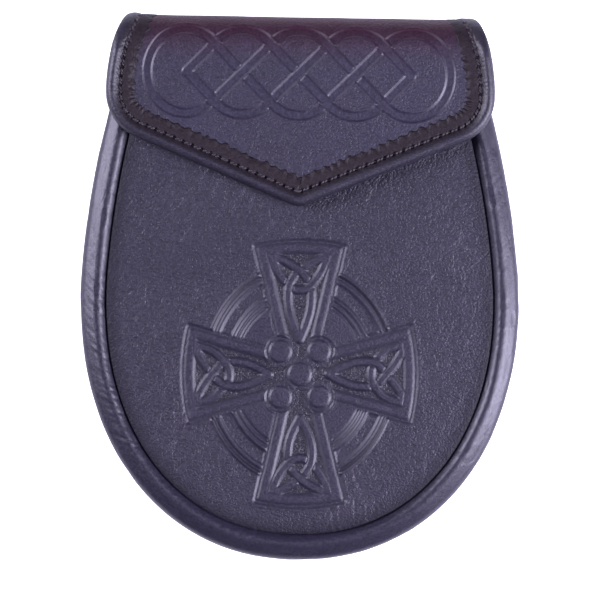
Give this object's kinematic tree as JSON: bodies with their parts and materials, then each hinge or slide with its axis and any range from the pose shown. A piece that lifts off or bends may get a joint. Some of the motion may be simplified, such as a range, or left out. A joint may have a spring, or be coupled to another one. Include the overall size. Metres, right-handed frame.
{
  "type": "sporran pouch",
  "caption": "Oval leather pouch with a deep piped gusset, a pointed fold-over flap with bound edge, embossed interlace and ringed cross, and strap loops behind.",
  "frame": {"origin": "on the rest plane under the middle of the outline, with the pouch lying on its back", "axes": "+X across the pouch to the right as seen from the front, +Y up to the fold of the flap, +Z out of the front"},
  "size_m": [0.1726, 0.216, 0.0413],
  "materials": {
    "pouch_leather": "smooth dark leather with a fine grain and a soft sheen",
    "flap_leather": "smooth dark leather, browner and glossier towards the fold",
    "binding_leather": "glossy dark brown leather strip with a pinked inner edge",
    "stud_metal": "dull brass"
  },
  "bodies": {
    "root": {"front_panel": "pouch_leather", "back_panel": "pouch_leather", "gusset": "pouch_leather", "flap": "flap_leather", "flap_binding": "binding_leather", "flap_stud": "stud_metal", "strap_loop_left": "pouch_leather", "strap_loop_right": "pouch_leather"}
  },
  "joints": []
}
